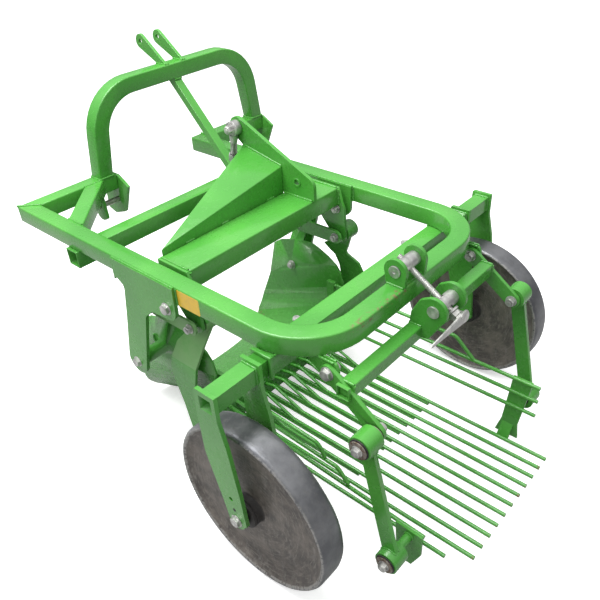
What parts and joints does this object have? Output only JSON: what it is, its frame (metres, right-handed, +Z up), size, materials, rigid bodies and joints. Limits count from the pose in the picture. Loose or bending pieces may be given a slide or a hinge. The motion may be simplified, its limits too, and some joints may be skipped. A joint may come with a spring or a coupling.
{
  "type": "sweet potato harvester",
  "caption": "Mounted single-row sweet potato harvester: U frame with offset headstock arch, rocking digging share, shaking rod sieve on swing links and smooth gauge wheels.",
  "frame": {"origin": "middle of the bounding box, on the ground", "axes": "+Y points forward to the tractor, +X to the machine's right, +Z up"},
  "size_m": [1.4346, 1.863, 1.182],
  "materials": {
    "green_paint": "gloss bright green paint",
    "zinc_plate": "zinc-plated, dull",
    "wheel_steel": "worn blue-grey sheet steel",
    "black_rubber": "matt black bush"
  },
  "bodies": {
    "frame": {"main_rail": "green_paint", "front_bar_left": "green_paint", "front_bar_right": "green_paint", "corner_brace": "green_paint", "headstock_arch": "green_paint", "top_link_ear_left": "green_paint", "top_link_ear_right": "green_paint", "headstock_stay": "green_paint", "lower_link_bracket_left": "green_paint", "lower_link_bracket_right": "green_paint", "front_crossbeam": "green_paint", "wheel_beam": "green_paint", "side_plate_left": "green_paint", "side_plate_right": "green_paint", "lever_hanger_left": "green_paint", "lever_hanger_right": "green_paint", "screw_bracket": "green_paint", "wheel_fork_left": "green_paint", "wheel_fork_right": "green_paint", "axle_left": "zinc_plate", "axle_right": "zinc_plate", "rear_lever_tube": "green_paint", "rear_lever_arm_left": "green_paint", "rear_lever_arm_right": "green_paint", "screw_nut": "zinc_plate", "adjusting_screw": "zinc_plate", "swing_bush_left": "black_rubber", "swing_bush_right": "black_rubber"},
    "wheel_left": {"wheel_left": "wheel_steel"},
    "wheel_right": {"wheel_right": "wheel_steel"},
    "rocker": {"rocker_beam": "green_paint", "rocker_arm_left": "green_paint", "rocker_arm_right": "green_paint", "rocker_gusset": "green_paint", "rocker_lever": "green_paint"},
    "drive_rod": {"drive_rod": "zinc_plate"},
    "share": {"share_trough": "green_paint"},
    "share_links": {"share_link_left": "green_paint", "share_link_right": "green_paint"},
    "sieve": {"sieve_floor": "green_paint", "sieve_side_left": "green_paint", "sieve_side_right": "green_paint", "sieve_arm_left": "green_paint", "sieve_arm_right": "green_paint", "sieve_bush_left": "black_rubber", "sieve_bush_right": "black_rubber"},
    "swing_links": {"swing_link_left": "green_paint", "swing_link_right": "green_paint"}
  },
  "joints": [
    {"name": "wheel_left_turn", "type": "hinge", "parent": "frame", "child": "wheel_left", "pos_m": [-0.065, -0.43948, 0.27], "axis": [1, 0, 0], "continuous": true},
    {"name": "wheel_right_turn", "type": "hinge", "parent": "frame", "child": "wheel_right", "pos_m": [-0.065, -0.43948, 0.27], "axis": [1, 0, 0], "continuous": true},
    {"name": "rocker_swing", "type": "hinge", "parent": "frame", "child": "rocker", "pos_m": [-0.065, -0.00948, 0.668], "axis": [1, 0, 0], "range_deg": [-3.5, 3.5]},
    {"name": "drive_rod_swing", "type": "hinge", "parent": "rocker", "child": "drive_rod", "pos_m": [-0.065, 0.32252, 0.945], "axis": [1, 0, 0], "range_deg": [-3.8, 3.8]},
    {"name": "share_swing", "type": "hinge", "parent": "frame", "child": "share", "pos_m": [-0.065, 0.22452, 0.353], "axis": [1, 0, 0], "range_deg": [-2.05, 2.05]},
    {"name": "share_link_swing", "type": "hinge", "parent": "rocker", "child": "share_links", "pos_m": [-0.065, -0.01848, 0.564], "axis": [1, 0, 0], "range_deg": [-3, 3]},
    {"name": "sieve_swing", "type": "hinge", "parent": "rocker", "child": "sieve", "pos_m": [-0.065, -0.01848, 0.564], "axis": [1, 0, 0], "range_deg": [-3.73, 3.73]},
    {"name": "swing_link_swing", "type": "hinge", "parent": "frame", "child": "swing_links", "pos_m": [-0.065, -0.69748, 0.55], "axis": [1, 0, 0], "range_deg": [-1.35, 1.35]}
  ],
  "couplings": [
    {"joint": "drive_rod_swing", "follows": "rocker_swing", "ratio": -1},
    {"joint": "share_swing", "follows": "rocker_swing", "ratio": -0.4999},
    {"joint": "share_link_swing", "follows": "rocker_swing", "ratio": -0.7709},
    {"joint": "sieve_swing", "follows": "rocker_swing", "ratio": -0.9785},
    {"joint": "swing_link_swing", "follows": "rocker_swing", "ratio": 0.2995}
  ]
}
